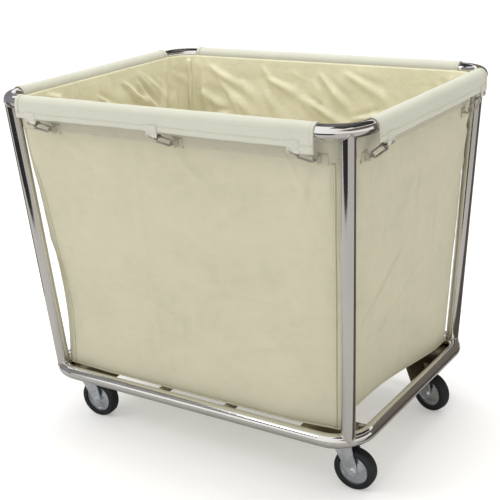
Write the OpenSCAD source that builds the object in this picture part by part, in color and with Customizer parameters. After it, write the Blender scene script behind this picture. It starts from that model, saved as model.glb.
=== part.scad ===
// Laundry cart: a tube frame on four swivel castors with a canvas bag hung from its top ring.
// Origin: on the floor, under the middle of the cart. +Z up, +X along the long side.

/* [Frame] */
// Outer length of the top ring
top_len = 966; // [700:1:1200]
// Outer width of the top ring
top_wid = 750; // [560:1:900]
// Outer length of the bottom ring
bottom_len = 898; // [660:1:1100]
// Outer width of the bottom ring
bottom_wid = 659; // [500:1:820]
// Height between the centres of the two rings
ring_rise = 698; // [500:1:900]
// Outer diameter of the ring and post tube
tube_d = 32; // [28:0.5:34]
// Wall of the ring and post tube
tube_wall = 1.2; // [1:0.1:2]
// Radius of the ring corners, at the tube's centreline
corner_r = 80; // [60:1:110]
// Diameter of the crossbars under the bag
bar_d = 22; // [16:1:25]
// Distance between the crossbars
bar_gap = 190; // [140:1:260]
// Thickness of the corner plates
plate_t = 3; // [2:0.5:4]

/* [Castors] */
// Wheel diameter
wheel_d = 100; // [90:1:104]
// Wheel width
wheel_w = 30; // [26:1:32]
// Height from the floor to the top of the castor's plate
castor_h = 133; // [131:0.5:140]
// How far the axle trails behind the swivel axis
castor_trail = 24; // [16:1:30]
// Balls in each swivel bearing
ball_count = 12; // [8:1:14]
// Distance of the castors from the middle, along X
castor_x = 373; // [330:1:380]
// Distance of the two front castors from the middle, along Y
front_castor_y = 234; // [226:1:240]
// Distance of the two back castors from the middle, along Y
back_castor_y = 198; // [190:1:204]

/* [Bag] */
// Thickness of the canvas
canvas_t = 2; // [1.5:0.25:3]
// Length of the bag where its walls meet its bottom
bag_foot_len = 796; // [700:1:800]
// Width of the bag where its walls meet its bottom
bag_foot_wid = 546; // [460:1:560]
// Length of the flaps on the long sides
long_flap = 780; // [640:1:790]
// Length of the flaps on the short sides
short_flap = 570; // [460:1:580]
// How far a flap hangs below the top ring's centre
flap_hang = 31; // [24:1:40]

/* [Snap hooks] */
// Diameter of the hook's wire
hook_wire = 4.4; // [3.6:0.2:5]

/* [Hidden] */
$fn = 48;
fit = 0.05;

tube_r = tube_d / 2;
bottom_z = castor_h + plate_t + tube_r;
top_z = bottom_z + ring_rise;
top_mid = [top_len - tube_d, top_wid - tube_d] / 2;
bottom_mid = [bottom_len - tube_d, bottom_wid - tube_d] / 2;
plate_z = castor_h;

// Where a post meets a ring: the middle of the corner's arc
arc_in = corner_r * (1 - cos(45));
post_top = [top_mid[0] - arc_in, top_mid[1] - arc_in, top_z];
post_foot = [bottom_mid[0] - arc_in, bottom_mid[1] - arc_in, bottom_z];

// Corner plates: reach inwards from the ring's centreline
plate_reach_x = 163;
front_reach_y = 131;
back_reach_y = 306;
back_inner_y = 133;
back_inner_x = 113;

// Corners, as [x sign, y sign, castor's distance along Y, angle the castor trails towards]
corner_front_left = [-1, -1, front_castor_y, 4];
corner_front_right = [1, -1, front_castor_y, 2];
corner_back_right = [1, 1, back_castor_y, -14];
corner_back_left = [-1, 1, back_castor_y, 166];

// Castor heights, measured from the floor
wheel_r = wheel_d / 2;
axle_z = wheel_r;
castor_plate_t = 2.5;
castor_plate_size = [62, 90];
castor_hole_gap = [44, 72];
castor_hole_r = 4.4;
race_r = 19;
ball_r = 3;
ball_z = castor_h - 7.5;
upper_race_z = ball_z + 1;
lower_race_z = ball_z - 1;
crown_top = ball_z - 5;
crown_t = 3;
crown_r = 29;
leg_t = 2.5;
leg_gap = wheel_w + 4;
axle_r = 4;
bush_r = 6;
kingpin_r = 5;
rim_r = 35;
tyre_edge_r = 9;

// Bag sections
bag_top = top_z - 1;
bag_gap = 0.4;
flap_r_in = tube_r + 0.4;
flap_r_out = flap_r_in + 1.5;
bag_side_in = flap_r_out + 0.3;
bag_top_half = [top_mid[0] - bag_side_in, top_mid[1] - bag_side_in];
bag_top_cut = 46;
bag_foot_half = [bag_foot_len, bag_foot_wid] / 2;
bag_foot_cut = 20;
bag_foot_z = bottom_z + 20;
bag_floor_z = bottom_z + bar_d / 2 + bag_gap;
bag_floor_half = [290, 170];
bag_slope = (bag_top_half - bag_foot_half) / (bag_top - bag_foot_z);
bag_seam = 0.1;
flap_tail = 24;

// Snap hooks. Side frames run u along the side, o outwards from the ring's centreline, h up from its centre.
// Each hook: [side angle, place along the side, run along the side, drop]
hooks = [
    [0, -345, 50, 21],
    [0, 0, 50, 21],
    [0, 345, 50, 21],
    [180, -345, 50, 21],
    [180, 0, 50, 21],
    [180, 345, 50, 21],
    [90, -238, -46, 26],
    [90, 262, -22, 46],
    [270, -238, -46, 26],
    [270, 262, -22, 46]
];
tab_w = 28;
tab_t = 2.4;
tab_drop = 12;
eye_o = flap_r_out - 5;
eye_h = -flap_hang - tab_drop - 1;
hook_in = 28;
hook_roll = 60;
eye_ring_r = 7;
eye_wire = 2.6;
stem_r = 2;
barrel_r = 4.6;
spine_y = -6.4;
bend_x = 35;
gate_x = 12.6;
gate_y = 6.4;
gate_r = 1.6;
gate_pin_r = 1;
ring_wire_r = 1.5;
ring_half = 9;
ring_x = bend_x - spine_y - hook_wire / 2 - ring_wire_r - 0.3;
bar_x = ring_x + ring_half;
tape_w = 16;
tape_t = 2;
tape_grip = 2.5;

chrome = [0.78, 0.78, 0.77];
zinc = [0.66, 0.68, 0.7];
black = [0.06, 0.06, 0.07];
cream = [0.87, 0.84, 0.71];

// ---------- frame ----------

// A solid bar of radius r bent round a rounded rectangle of half sizes mid
module ring_bar(mid, r) {
    for (s = [-1, 1]) {
        translate([corner_r - mid[0], s * mid[1], 0])
            rotate([0, 90, 0])
                cylinder(r = r, h = 2 * (mid[0] - corner_r));
        translate([s * mid[0], corner_r - mid[1], 0])
            rotate([-90, 0, 0])
                cylinder(r = r, h = 2 * (mid[1] - corner_r));
    }
    for (i = [0 : 3])
        translate([
            (i == 0 || i == 3 ? 1 : -1) * (mid[0] - corner_r),
            (i < 2 ? 1 : -1) * (mid[1] - corner_r),
            0
        ])
            rotate([0, 0, 90 * i])
                rotate_extrude(angle = 90)
                    translate([corner_r, 0])
                        circle(r = r);
}

module tube_ring(mid, z) {
    color(chrome)
        translate([0, 0, z])
            difference() {
                ring_bar(mid, tube_r);
                ring_bar(mid, tube_r - tube_wall);
            }
}

module top_ring() {
    tube_ring(top_mid, top_z);
}

module bottom_ring() {
    tube_ring(bottom_mid, bottom_z);
}

// The quarter torus of the ring corner at +X +Y, used to cope the posts
module corner_bar(mid, z, r) {
    translate([mid[0] - corner_r, mid[1] - corner_r, z])
        rotate_extrude(angle = 90)
            translate([corner_r, 0])
                circle(r = r);
}

// A post at the +X +Y corner
module post() {
    run = post_top - post_foot;
    reach = norm(run);
    lean = acos(run[2] / reach);
    heading = atan2(run[1], run[0]);
    color(chrome)
        difference() {
            translate(post_foot)
                rotate([0, lean, heading])
                    difference() {
                        cylinder(r = tube_r, h = reach);
                        translate([0, 0, -1])
                            cylinder(r = tube_r - tube_wall, h = reach + 2);
                    }
            corner_bar(top_mid, top_z, tube_r + fit);
            corner_bar(bottom_mid, bottom_z, tube_r + fit);
        }
}

module at_corner(corner) {
    mirror([corner[0] < 0 ? 1 : 0, 0, 0])
        mirror([0, corner[1] < 0 ? 1 : 0, 0])
            children();
}

// Holes for a castor's bolts and kingpin, drawn at the castor's own axis
module castor_holes(h) {
    for (sx = [-1, 1], sy = [-1, 1])
        translate([sx * castor_hole_gap[0] / 2, sy * castor_hole_gap[1] / 2, -1])
            cylinder(r = castor_hole_r, h = h + 2);
}

// The outline of the bottom ring's centreline, at the +X +Y corner
module ring_corner_outline() {
    translate([bottom_mid[0] - corner_r, bottom_mid[1] - corner_r])
        circle(r = corner_r);
    square([bottom_mid[0], bottom_mid[1] - corner_r]);
    square([bottom_mid[0] - corner_r, bottom_mid[1]]);
}

module corner_plate(corner) {
    front = corner[1] < 0;
    x0 = bottom_mid[0] - plate_reach_x;
    color(chrome)
        at_corner(corner)
            translate([0, 0, plate_z])
                difference() {
                    linear_extrude(plate_t)
                        intersection() {
                            ring_corner_outline();
                            polygon(front
                                ? [
                                    [x0, bottom_mid[1] - front_reach_y],
                                    [bottom_mid[0], bottom_mid[1] - front_reach_y],
                                    [bottom_mid[0], bottom_mid[1]],
                                    [x0, bottom_mid[1]]
                                ]
                                : [
                                    [x0, bottom_mid[1] - back_inner_y],
                                    [bottom_mid[0] - back_inner_x, bottom_mid[1] - back_inner_y],
                                    [bottom_mid[0], bottom_mid[1] - back_reach_y],
                                    [bottom_mid[0], bottom_mid[1]],
                                    [x0, bottom_mid[1]]
                                ]);
                        }
                    translate([castor_x, corner[2], 0])
                        castor_holes(plate_t);
                }
}

module crossbar(side) {
    inner = bottom_mid[1] - sqrt(pow(tube_r, 2) - pow(bar_d / 2, 2)) + fit;
    color(chrome)
        difference() {
            translate([side * bar_gap / 2, -inner, bottom_z])
                rotate([-90, 0, 0])
                    difference() {
                        cylinder(r = bar_d / 2, h = 2 * inner);
                        translate([0, 0, -1])
                            cylinder(r = bar_d / 2 - tube_wall, h = 2 * inner + 2);
                    }
            for (s = [-1, 1])
                translate([side * bar_gap / 2 - bar_d, s * bottom_mid[1], bottom_z])
                    rotate([0, 90, 0])
                        cylinder(r = tube_r + fit, h = 2 * bar_d);
        }
}

// ---------- castors ----------

module at_castor(corner) {
    translate([corner[0] * castor_x, corner[1] * corner[2], 0])
        children();
}

// Swivelled to its rest heading: the wheel trails towards local +X
module at_swivel(corner) {
    at_castor(corner)
        rotate([0, 0, corner[3]])
            children();
}

module race_groove() {
    translate([0, 0, ball_z])
        rotate_extrude()
            translate([race_r, 0])
                circle(r = ball_r + fit);
}

module castor_plate(corner) {
    x = castor_plate_size[0] / 2;
    y = castor_plate_size[1] / 2;
    round_r = 8;
    at_castor(corner)
        difference() {
            union() {
                translate([0, 0, castor_h - castor_plate_t]) {
                    translate([-x, round_r - y, 0])
                        cube([2 * x, 2 * (y - round_r), castor_plate_t]);
                    translate([round_r - x, -y, 0])
                        cube([2 * (x - round_r), 2 * y, castor_plate_t]);
                    for (sx = [-1, 1], sy = [-1, 1])
                        translate([sx * (x - round_r), sy * (y - round_r), 0])
                            cylinder(r = round_r, h = castor_plate_t);
                }
                translate([0, 0, upper_race_z])
                    cylinder(r = race_r + 6, h = castor_h - upper_race_z - 1);
            }
            translate([0, 0, castor_h - castor_plate_t])
                castor_holes(castor_plate_t);
            race_groove();
            translate([0, 0, upper_race_z - 1])
                cylinder(r = kingpin_r + fit, h = 20);
            translate([0, 0, castor_h - 2])
                cylinder(r = kingpin_r + 3.2, h = 5);
        }
}

module castor_plates() {
    color(zinc)
        for (corner = [corner_front_left, corner_front_right, corner_back_right, corner_back_left])
            castor_plate(corner);
}

module kingpins() {
    head_z = crown_top - crown_t - 3;
    color(zinc)
        for (corner = [corner_front_left, corner_front_right, corner_back_right, corner_back_left])
            at_castor(corner) {
                translate([0, 0, head_z])
                    cylinder(r = kingpin_r, h = castor_h - head_z - 0.1);
                translate([0, 0, castor_h - 1.95])
                    cylinder(r = kingpin_r + 3, h = 1.85);
                translate([0, 0, head_z])
                    cylinder(r = kingpin_r + 4, h = 2.6);
            }
}

module swivel_balls() {
    color(zinc)
        for (corner = [corner_front_left, corner_front_right, corner_back_right, corner_back_left])
            at_castor(corner)
                for (i = [0 : ball_count - 1])
                    rotate([0, 0, 360 * i / ball_count])
                        translate([race_r, 0, ball_z])
                            sphere(r = ball_r);
}

// One side plate of the fork, in its own plane: x towards the trail, y up
module leg_outline() {
    top = crown_top - axle_z;
    boss = 12;
    shoulder = 12;
    reach = crown_r - 5;
    circle(r = boss);
    polygon([
        [-castor_trail - reach, top],
        [reach - castor_trail, top],
        [reach - castor_trail, top - shoulder],
        [boss * cos(10), boss * sin(10)],
        [boss * cos(200), boss * sin(200)],
        [-castor_trail - reach, top - shoulder]
    ]);
}

module fork(corner) {
    color(zinc)
        at_swivel(corner)
            difference() {
                union() {
                    translate([0, 0, crown_top - crown_t])
                        cylinder(r = crown_r, h = crown_t);
                    translate([0, 0, crown_top - crown_t])
                        cylinder(r = race_r + 6, h = lower_race_z - crown_top + crown_t);
                    for (s = [-1, 1])
                        translate([castor_trail, s * (leg_gap + leg_t) / 2 + leg_t / 2, axle_z])
                            rotate([90, 0, 0])
                                linear_extrude(leg_t)
                                    leg_outline();
                }
                race_groove();
                translate([0, 0, crown_top - crown_t - 1])
                    cylinder(r = kingpin_r + 0.08, h = 30);
                translate([castor_trail, -50, axle_z])
                    rotate([-90, 0, 0])
                        cylinder(r = axle_r + fit, h = 100);
            }
}

// Bolt with its nut, along local Y through the fork's legs
module axle(corner) {
    grip = leg_gap / 2 + leg_t;
    color(zinc)
        at_swivel(corner)
            translate([castor_trail, 0, axle_z])
                rotate([-90, 0, 0]) {
                    translate([0, 0, -grip - 5])
                        cylinder(r = 7, h = 5, $fn = 6);
                    translate([0, 0, -grip - 0.01])
                        cylinder(r = axle_r, h = 2 * grip + 8);
                    difference() {
                        translate([0, 0, grip])
                            cylinder(r = 7, h = 6.5, $fn = 6);
                        translate([0, 0, grip - 1])
                            cylinder(r = axle_r + fit, h = 9);
                    }
                }
}

module bush(corner) {
    color(zinc)
        at_swivel(corner)
            translate([castor_trail, 0, axle_z])
                rotate([90, 0, 0])
                    difference() {
                        cylinder(r = bush_r, h = leg_gap - 0.1, center = true);
                        cylinder(r = axle_r + fit, h = leg_gap + 2, center = true);
                    }
}

// Half section of the pressed wheel centre: [radius, distance from the mid-plane]
module wheel_centre(corner) {
    hub_w = wheel_w + 2;
    band_w = wheel_w - 8;
    color(zinc)
        at_swivel(corner)
            translate([castor_trail, 0, axle_z])
                rotate([90, 0, 0])
                    rotate_extrude()
                        polygon([
                            [bush_r + fit, -hub_w / 2], [10, -hub_w / 2], [12, -hub_w / 2 + 5],
                            [20, -band_w / 2 + 2], [29, -band_w / 2 + 3], [31, -band_w / 2],
                            [rim_r, -band_w / 2], [rim_r, band_w / 2],
                            [31, band_w / 2], [29, band_w / 2 - 3], [20, band_w / 2 - 2],
                            [12, hub_w / 2 - 5], [10, hub_w / 2], [bush_r + fit, hub_w / 2]
                        ]);
}

module tyre(corner) {
    color(black)
        at_swivel(corner)
            translate([castor_trail, 0, axle_z])
                rotate([90, 0, 0])
                    rotate_extrude()
                        difference() {
                            union() {
                                translate([rim_r + 0.03, -wheel_w / 2])
                                    square([wheel_r - rim_r - tyre_edge_r, wheel_w]);
                                translate([rim_r + 0.03, tyre_edge_r - wheel_w / 2])
                                    square([wheel_r - rim_r - 0.03, wheel_w - 2 * tyre_edge_r]);
                                for (s = [-1, 1])
                                    translate([wheel_r - tyre_edge_r, s * (wheel_w / 2 - tyre_edge_r)])
                                        circle(r = tyre_edge_r);
                            }
                            square([2 * rim_r + 0.06, 2 * wheel_w], center = true);
                        }
}

module castor_bolts() {
    color(zinc)
        for (corner = [corner_front_left, corner_front_right, corner_back_right, corner_back_left])
            at_castor(corner)
                for (sx = [-1, 1], sy = [-1, 1])
                    translate([sx * castor_hole_gap[0] / 2, sy * castor_hole_gap[1] / 2, 0]) {
                        translate([0, 0, castor_h - 11])
                            cylinder(r = 4, h = 11 + plate_t);
                        translate([0, 0, castor_h + plate_t])
                            cylinder(r = 7, h = 5, $fn = 6);
                    }
}

module castor_nuts() {
    color(zinc)
        for (corner = [corner_front_left, corner_front_right, corner_back_right, corner_back_left])
            at_castor(corner)
                for (sx = [-1, 1], sy = [-1, 1])
                    translate([
                        sx * castor_hole_gap[0] / 2,
                        sy * castor_hole_gap[1] / 2,
                        castor_h - castor_plate_t - 6.5
                    ])
                        difference() {
                            cylinder(r = 7, h = 6.5, $fn = 6);
                            translate([0, 0, -1])
                                cylinder(r = 4 + fit, h = 9);
                        }
}

// ---------- bag ----------

// The bag's outline at height z, anticlockwise from the left end of the front wall, with its corners cut
function outline(half, cut, z) = [
    [cut - half[0], -half[1], z],
    [half[0] - cut, -half[1], z],
    [half[0], cut - half[1], z],
    [half[0], half[1] - cut, z],
    [half[0] - cut, half[1], z],
    [cut - half[0], half[1], z],
    [-half[0], half[1] - cut, z],
    [-half[0], cut - half[1], z]
];

// The same outline taken in by the cloth's thickness
function inner_outline(half, cut, z) =
    outline(half - [canvas_t, canvas_t], cut - canvas_t * (2 - sqrt(2)), z);

// A point of the outline, moved along the edge by half of the seam's gap
function seam_end(points, i, towards) =
    points[i] + bag_seam * (points[towards] - points[i]) / norm(points[towards] - points[i]);

// The flat piece of cloth below edge i of the outlines: upper and lower are [outer outline, inner outline]
module panel(upper, lower, i) {
    j = (i + 1) % 8;
    edges = [upper[0], lower[0], upper[1], lower[1]];
    starts = [for (e = edges) seam_end(e, i, j)];
    ends = [for (e = edges) seam_end(e, j, i)];
    polyhedron(
        points = concat(starts, ends),
        faces = [[0, 4, 5, 1], [6, 2, 3, 7], [2, 6, 4, 0], [1, 5, 7, 3], [0, 1, 3, 2], [4, 6, 7, 5]]
    );
}

mouth = [
    outline(bag_top_half, bag_top_cut, bag_top),
    inner_outline(bag_top_half, bag_top_cut, bag_top)
];

// Outer and inner outline where the walls meet the bottom, raised by h
function foot(h) = [
    outline(bag_foot_half, bag_foot_cut, bag_foot_z + h),
    inner_outline(bag_foot_half, bag_foot_cut, bag_foot_z + canvas_t + h)
];

// A wall with the corner at its anticlockwise end, starting at edge i
module bag_wall(i) {
    color(cream)
        for (edge = [i, i + 1])
            panel(mouth, foot(bag_seam), edge);
}

// The bottom: a flat middle on the crossbars, and a skirt that rises to the walls
module bag_bottom() {
    floor_edge = [
        outline(bag_floor_half, bag_foot_cut, bag_floor_z),
        outline(bag_floor_half, bag_foot_cut, bag_floor_z + canvas_t)
    ];
    middle = outline(bag_floor_half - [bag_seam, bag_seam], bag_foot_cut, 0);
    color(cream) {
        for (edge = [0 : 7])
            panel(foot(0), floor_edge, edge);
        translate([0, 0, bag_floor_z])
            linear_extrude(canvas_t)
                polygon([for (p = middle) [p[0], p[1]]]);
    }
}

// A flap wrapped over a straight side of the top ring: tail inside, arch over the tube, hang outside
module flap(angle, len) {
    side = angle % 180 == 0 ? top_mid[1] : top_mid[0];
    color(cream)
        translate([0, 0, top_z])
            rotate([0, 0, angle])
                translate([0, -side, 0])
                    rotate([90, 0, 90])
                        linear_extrude(len, center = true)
                            flap_section();
}

// Side frame section: x = -o (inwards is positive), y = h
module flap_section() {
    t = flap_r_out - flap_r_in;
    difference() {
        circle(r = flap_r_out, $fn = 96);
        circle(r = flap_r_in, $fn = 96);
        translate([-2 * flap_r_out, -4 * flap_r_out])
            square([4 * flap_r_out, 4 * flap_r_out]);
    }
    translate([-flap_r_out, -flap_hang])
        square([t, flap_hang]);
    translate([flap_r_in, -flap_tail])
        square([t, flap_tail]);
}

// ---------- snap hooks ----------

// Into a side's frame at the top ring's centreline: X = u, -Y = o, Z = h
module at_side(hook) {
    side = hook[0] % 180 == 0 ? top_mid[1] : top_mid[0];
    translate([0, 0, top_z])
        rotate([0, 0, hook[0]])
            translate([hook[1], -side, 0])
                children();
}

// How far along the side, inwards and down a hook points, as a unit vector
function hook_way(hook) = [hook[2], hook_in, -hook[3]] / norm([hook[2], hook_in, hook[3]]);

// How far inwards of the ring's centreline the bag's wall is, at height h
function wall_in(hook, h) = bag_side_in - h * bag_slope[hook[0] % 180 == 0 ? 1 : 0] - 0.2;

// Into a hook's swivel frame: X runs from the eye to the bend, Y is level
module at_eye(hook) {
    way = hook_way(hook);
    at_side(hook)
        translate([0, -eye_o, eye_h])
            rotate([0, -asin(way[2]), atan2(way[1], way[0])])
                children();
}

// Into a hook body's frame: X runs from the eye to the bend, Y points up towards the gate
module at_hook(hook) {
    at_eye(hook)
        rotate([hook[2] > 0 ? hook_roll : 180 - hook_roll, 0, 0])
            children();
}

module eye_ring(wire) {
    translate([-eye_ring_r, 0, 0])
        rotate_extrude()
            translate([eye_ring_r, 0])
                circle(d = wire, $fn = 24);
}

// A tab on the flap that holds the eye, and a tape on the bag that holds the D-ring's bar.
// The tape lies level at a steep hook, and stands upright at the others.
module webbing_tabs() {
    color(cream)
        for (hook = hooks) {
            bar = hook_way(hook) * bar_x + [0, -eye_o, eye_h];
            steep = hook[3] > abs(hook[2]);
            wide = steep ? tape_w : tape_t;
            tall = steep ? tape_t : tape_w;
            depth = wall_in(hook, bar[2] + tall / 2) - bar[1] + tape_grip;
            difference() {
                at_side(hook)
                    translate([-tab_w / 2, -flap_r_out - 0.1 - tab_t, -flap_hang - tab_drop])
                        cube([tab_w, tab_t, tab_drop + 14]);
                at_eye(hook)
                    eye_ring(eye_wire + 0.6);
            }
            difference() {
                at_side(hook)
                    translate([bar[0] - wide / 2, bar[1] - tape_grip, bar[2] - tall / 2])
                        cube([wide, depth, tall]);
                at_hook(hook)
                    d_ring(ring_wire_r + 0.2);
            }
        }
}

module snap_hook_eyes() {
    color(zinc)
        for (hook = hooks)
            at_eye(hook) {
                eye_ring(eye_wire);
                rotate([0, 90, 0])
                    cylinder(r = stem_r, h = 10.2);
                translate([9.1, 0, 0])
                    rotate([0, 90, 0])
                        cylinder(r = stem_r + 1, h = 1.4);
            }
}

module hook_body() {
    r = hook_wire / 2;
    difference() {
        union() {
            translate([2, 0, 0])
                rotate([0, 90, 0])
                    cylinder(r = barrel_r, h = 7);
            translate([6, spine_y - r, -3])
                cube([3, gate_y - spine_y + 2 * r, 6]);
            for (s = [-1, 1])
                translate([6, gate_y - 3, s * 2.6 - 0.7])
                    cube([gate_x - 6, 6, 1.4]);
            for (s = [-1, 1])
                translate([gate_x, gate_y, s * 2.6 - 0.7])
                    cylinder(r = 3, h = 1.4);
        }
        rotate([0, 90, 0])
            cylinder(r = stem_r + fit, h = 12);
        translate([gate_x, gate_y, -5])
            cylinder(r = gate_pin_r + 0.01, h = 10);
    }
    translate([7, spine_y, 0])
        rotate([0, 90, 0])
            cylinder(r = r, h = bend_x - 7);
    translate([bend_x, 0, 0])
        rotate([0, 0, -90])
            rotate_extrude(angle = 180)
                translate([-spine_y, 0])
                    circle(r = r, $fn = 24);
    translate([bend_x - 2, gate_y, 0])
        rotate([0, 90, 0])
            cylinder(r = r, h = 2);
}

module gate_pin() {
    translate([gate_x, gate_y, -3.5])
        cylinder(r = gate_pin_r, h = 7);
}

module snap_hook_bodies() {
    color(zinc)
        for (hook = hooks)
            at_hook(hook) {
                hook_body();
                gate_pin();
            }
}

module gate(hook) {
    color(zinc)
        at_hook(hook)
            difference() {
                union() {
                    translate([gate_x, gate_y, -1.7])
                        cylinder(r = 2.8, h = 3.4);
                    translate([gate_x, gate_y, 0])
                        rotate([0, 90, 0])
                            cylinder(r = gate_r, h = bend_x - 2.5 - gate_x);
                }
                translate([gate_x, gate_y, -5])
                    cylinder(r = gate_pin_r + fit, h = 10);
            }
}

module d_rings() {
    color(zinc)
        for (hook = hooks)
            at_hook(hook)
                d_ring(ring_wire_r);
}

// A D-ring, in the hook body's frame: its round side is in the bend, its bar is beyond it
module d_ring(wire_r) {
    half = ring_half + ring_wire_r;
    translate([bar_x, 0, 0])
        rotate([90, 0, 0]) {
            rotate([0, 0, 90])
                rotate_extrude(angle = 180)
                    translate([ring_half, 0])
                        circle(r = wire_r, $fn = 24);
            translate([0, half, 0])
                rotate([90, 0, 0])
                    cylinder(r = wire_r, h = 2 * half, $fn = 24);
        }
}

top_ring();
bottom_ring();
at_corner(corner_front_left) post();  // post_front_left
at_corner(corner_front_right) post();  // post_front_right
at_corner(corner_back_right) post();  // post_back_right
at_corner(corner_back_left) post();  // post_back_left
corner_plate(corner_front_left);  // corner_plate_front_left
corner_plate(corner_front_right);  // corner_plate_front_right
corner_plate(corner_back_right);  // corner_plate_back_right
corner_plate(corner_back_left);  // corner_plate_back_left
crossbar(-1);  // crossbar_left
crossbar(1);  // crossbar_right
fork(corner_front_left);  // fork_front_left
fork(corner_front_right);  // fork_front_right
fork(corner_back_right);  // fork_back_right
fork(corner_back_left);  // fork_back_left
axle(corner_front_left);  // axle_front_left
axle(corner_front_right);  // axle_front_right
axle(corner_back_right);  // axle_back_right
axle(corner_back_left);  // axle_back_left
bush(corner_front_left);  // bush_front_left
bush(corner_front_right);  // bush_front_right
bush(corner_back_right);  // bush_back_right
bush(corner_back_left);  // bush_back_left
wheel_centre(corner_front_left);  // wheel_centre_front_left
wheel_centre(corner_front_right);  // wheel_centre_front_right
wheel_centre(corner_back_right);  // wheel_centre_back_right
wheel_centre(corner_back_left);  // wheel_centre_back_left
tyre(corner_front_left);  // tyre_front_left
tyre(corner_front_right);  // tyre_front_right
tyre(corner_back_right);  // tyre_back_right
tyre(corner_back_left);  // tyre_back_left
castor_plates();
kingpins();
swivel_balls();
castor_bolts();
castor_nuts();
bag_wall(0);  // bag_front
bag_wall(2);  // bag_right
bag_wall(4);  // bag_back
bag_wall(6);  // bag_left
bag_bottom();
flap(0, long_flap);  // flap_front
flap(180, long_flap);  // flap_back
flap(90, short_flap);  // flap_right
flap(270, short_flap);  // flap_left
webbing_tabs();
d_rings();
snap_hook_bodies();
snap_hook_eyes();
gate(hooks[0]);  // gate_front_1
gate(hooks[1]);  // gate_front_2
gate(hooks[2]);  // gate_front_3
gate(hooks[3]);  // gate_back_1
gate(hooks[4]);  // gate_back_2
gate(hooks[5]);  // gate_back_3
gate(hooks[6]);  // gate_right_1
gate(hooks[7]);  // gate_right_2
gate(hooks[8]);  // gate_left_1
gate(hooks[9]);  // gate_left_2
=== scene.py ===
"""The laundry cart's looks: canvas bag, flaps, webbing, stitching, welds, materials, light and camera."""

import math

import bmesh
import bpy
import numpy as np
from mathutils import Matrix, Vector


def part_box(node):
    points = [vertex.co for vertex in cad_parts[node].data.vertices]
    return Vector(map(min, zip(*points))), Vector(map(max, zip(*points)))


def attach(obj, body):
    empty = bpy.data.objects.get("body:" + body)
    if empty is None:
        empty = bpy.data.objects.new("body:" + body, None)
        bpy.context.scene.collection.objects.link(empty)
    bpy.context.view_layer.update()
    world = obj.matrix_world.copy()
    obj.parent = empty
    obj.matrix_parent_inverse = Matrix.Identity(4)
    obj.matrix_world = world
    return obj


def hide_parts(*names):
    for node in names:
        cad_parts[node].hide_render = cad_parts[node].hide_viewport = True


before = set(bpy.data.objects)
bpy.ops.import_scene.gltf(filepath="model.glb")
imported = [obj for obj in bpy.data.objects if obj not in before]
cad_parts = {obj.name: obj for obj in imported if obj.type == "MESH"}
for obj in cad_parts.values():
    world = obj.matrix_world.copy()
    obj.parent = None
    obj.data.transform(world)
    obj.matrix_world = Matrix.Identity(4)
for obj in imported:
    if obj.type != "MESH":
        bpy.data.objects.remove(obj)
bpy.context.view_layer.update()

MM = 0.001
CORNERS = ("front_left", "front_right", "back_right", "back_left")


# ---------- sizes, from the frame ----------

ring_low, ring_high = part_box("top_ring")
base_low, base_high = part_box("bottom_ring")
TUBE_R = (ring_high.z - ring_low.z) / 2
TOP_Z = (ring_high.z + ring_low.z) / 2
BASE_Z = (base_high.z + base_low.z) / 2
TOP_SIDE = np.array([ring_high.x, ring_high.y]) - TUBE_R
BASE_SIDE = np.array([base_high.x, base_high.y]) - TUBE_R
RING_CORNER = 80 * MM

bottom_low, bottom_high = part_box("bag_bottom")
MOUTH_HALF = np.array([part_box("bag_right")[1].x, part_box("bag_back")[1].y])
FOOT_HALF = np.array([bottom_high.x, bottom_high.y])
MOUTH_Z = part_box("bag_front")[1].z
FOOT_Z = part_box("bag_front")[0].z
FLOOR_Z = bottom_low.z + 1 * MM
BAR_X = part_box("crossbar_right")[1].x - 11 * MM


# ---------- mesh helpers ----------


def make_mesh(name, points, faces, material, uv=None):
    """A smooth-shaded mesh object. uv holds one pair in metres for each point."""
    mesh = bpy.data.meshes.new(name)
    mesh.from_pydata([tuple(p) for p in points], [], [tuple(int(i) for i in f) for f in faces])
    mesh.polygons.foreach_set("use_smooth", [True] * len(mesh.polygons))
    if uv is not None:
        layer = mesh.uv_layers.new(name="cloth")
        loops = np.zeros(len(mesh.loops), np.int32)
        mesh.loops.foreach_get("vertex_index", loops)
        layer.data.foreach_set("uv", np.asarray(uv, np.float32)[loops].ravel())
    mesh.materials.append(material)
    piece = bpy.data.objects.new(name, mesh)
    bpy.context.scene.collection.objects.link(piece)
    return piece


def grid_faces(rows, cols, closed=False):
    """Quads of a grid of points stored row by row. closed joins the last column to the first."""
    r, c = np.meshgrid(np.arange(rows - 1), np.arange(cols if closed else cols - 1), indexing="ij")
    after = (c + 1) % cols
    quads = np.stack([r * cols + c, (r + 1) * cols + c, (r + 1) * cols + after, r * cols + after], -1)
    return quads.reshape(-1, 4)


def solidify(piece, thickness, offset):
    modifier = piece.modifiers.new("cloth thickness", "SOLIDIFY")
    modifier.thickness = thickness
    modifier.offset = offset
    modifier.use_even_offset = False


def ease(x, low, high):
    """0 below low, 1 above high, smooth between."""
    t = np.clip((x - low) / (high - low), 0, 1)
    return t * t * (3 - 2 * t)


NOISE_ROWS = 97


def value_noise(x, y, cells, seed):
    """Smooth noise from -1 to 1 on a lattice of spacing 1 that repeats after cells steps along x."""
    table = np.random.RandomState(seed).uniform(-1, 1, (cells, NOISE_ROWS))
    xi, yi = np.floor(x).astype(int), np.floor(y).astype(int)
    fx, fy = ease(x - xi, 0, 1), ease(y - yi, 0, 1)

    def at(i, j):
        return table[i % cells, j % NOISE_ROWS]

    low = at(xi, yi) * (1 - fx) + at(xi + 1, yi) * fx
    high = at(xi, yi + 1) * (1 - fx) + at(xi + 1, yi + 1) * fx
    return low * (1 - fy) + high * fy


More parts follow.
